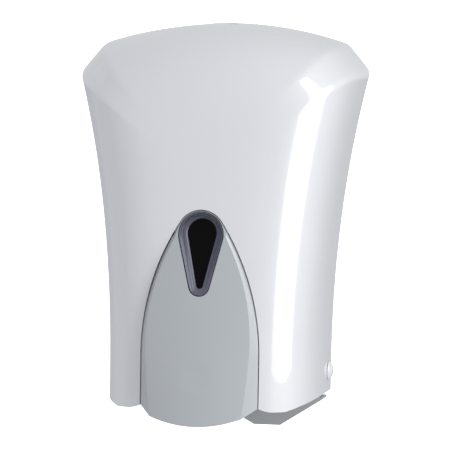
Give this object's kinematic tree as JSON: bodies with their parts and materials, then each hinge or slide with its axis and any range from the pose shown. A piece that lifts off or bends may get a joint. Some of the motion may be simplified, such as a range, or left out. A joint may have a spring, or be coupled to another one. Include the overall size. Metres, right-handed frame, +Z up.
{
  "type": "wall mounted soap dispenser",
  "caption": "Wall dispenser with a flared gloss cover on a bottom hinge, a push lever with a level window, a refillable tank, a piston pump and a spout.",
  "frame": {"origin": "on the wall plane, on the middle line, level with the lower edge of the front cover", "axes": "+Y into the wall, +Z up, +X to the right seen from the front; the front looks along -Y"},
  "size_m": [0.1762, 0.1272, 0.2558],
  "materials": {
    "gloss_white": "injection moulded ABS, high gloss white",
    "satin_silver": "moulded ABS, satin silver-grey",
    "slate_bezel": "moulded ABS, dark slate, semi-gloss",
    "smoked_lens": "smoked polycarbonate window, polished",
    "chassis_grey": "moulded ABS, fine matt spark grain",
    "tank_polythene": "translucent blow moulded polythene",
    "natural_acetal": "natural acetal, as moulded",
    "black_acetal": "black acetal, as moulded",
    "nitrile_rubber": "moulded nitrile seal",
    "zinc_steel": "bright zinc plated steel"
  },
  "bodies": {
    "root": {"back_plate": "chassis_grey", "lower_skirt": "chassis_grey", "pump_cradle": "chassis_grey", "lock_strike": "chassis_grey", "wall_screw_1": "zinc_steel", "wall_screw_2": "zinc_steel", "wall_screw_3": "zinc_steel", "wall_screw_4": "zinc_steel", "cradle_screw_left": "zinc_steel", "cradle_screw_right": "zinc_steel", "soap_tank": "tank_polythene", "tank_lid_seal": "nitrile_rubber", "neck_seal": "nitrile_rubber", "pump_body": "natural_acetal", "pump_cap": "black_acetal", "inlet_valve_ball": "zinc_steel", "outlet_valve_ball": "zinc_steel", "spout": "natural_acetal", "spout_nut": "black_acetal", "return_spring": "zinc_steel", "lid_pin_left": "zinc_steel", "lid_pin_right": "zinc_steel"},
    "cover": {"front_cover": "gloss_white", "hinge_cap_left": "gloss_white", "hinge_cap_right": "gloss_white", "lever_pin_left": "zinc_steel", "lever_pin_right": "zinc_steel"},
    "lever": {"push_lever": "satin_silver", "window_bezel": "slate_bezel", "window_lens": "smoked_lens"},
    "lock": {"lock_barrel": "zinc_steel", "lock_cam": "zinc_steel"},
    "piston": {"piston": "natural_acetal", "piston_seal": "nitrile_rubber", "push_head": "natural_acetal"},
    "lid": {"tank_lid": "natural_acetal"}
  },
  "joints": [
    {"name": "cover_hinge", "type": "hinge", "parent": "root", "child": "cover", "pos_m": [0, -0.017, 0.0176], "axis": [1, 0, 0], "range_deg": [0, 70]},
    {"name": "lever_hinge", "type": "hinge", "parent": "cover", "child": "lever", "pos_m": [0, -0.0985, 0.1075], "axis": [1, 0, 0], "range_deg": [0, 8], "stiffness_Nm_per_rad": 3, "springref_deg": -2.86},
    {"name": "lock_turn", "type": "hinge", "parent": "cover", "child": "lock", "pos_m": [0, -0.022, 0.2368], "axis": [0, 0, 1], "range_deg": [0, 90]},
    {"name": "piston_slide", "type": "slide", "parent": "root", "child": "piston", "axis": [0, 1, 0], "range_m": [0, 0.011], "deforming": ["return_spring"]},
    {"name": "lid_hinge", "type": "hinge", "parent": "root", "child": "lid", "pos_m": [0, -0.0066, 0.2015], "axis": [1, 0, 0], "range_deg": [-28, 0]}
  ],
  "couplings": [
    {"joint": "piston_slide", "follows": "lever_hinge", "m_per_rad": 0.0765},
    {"joint": "lid_hinge", "follows": "cover_hinge", "ratio": -0.4}
  ]
}
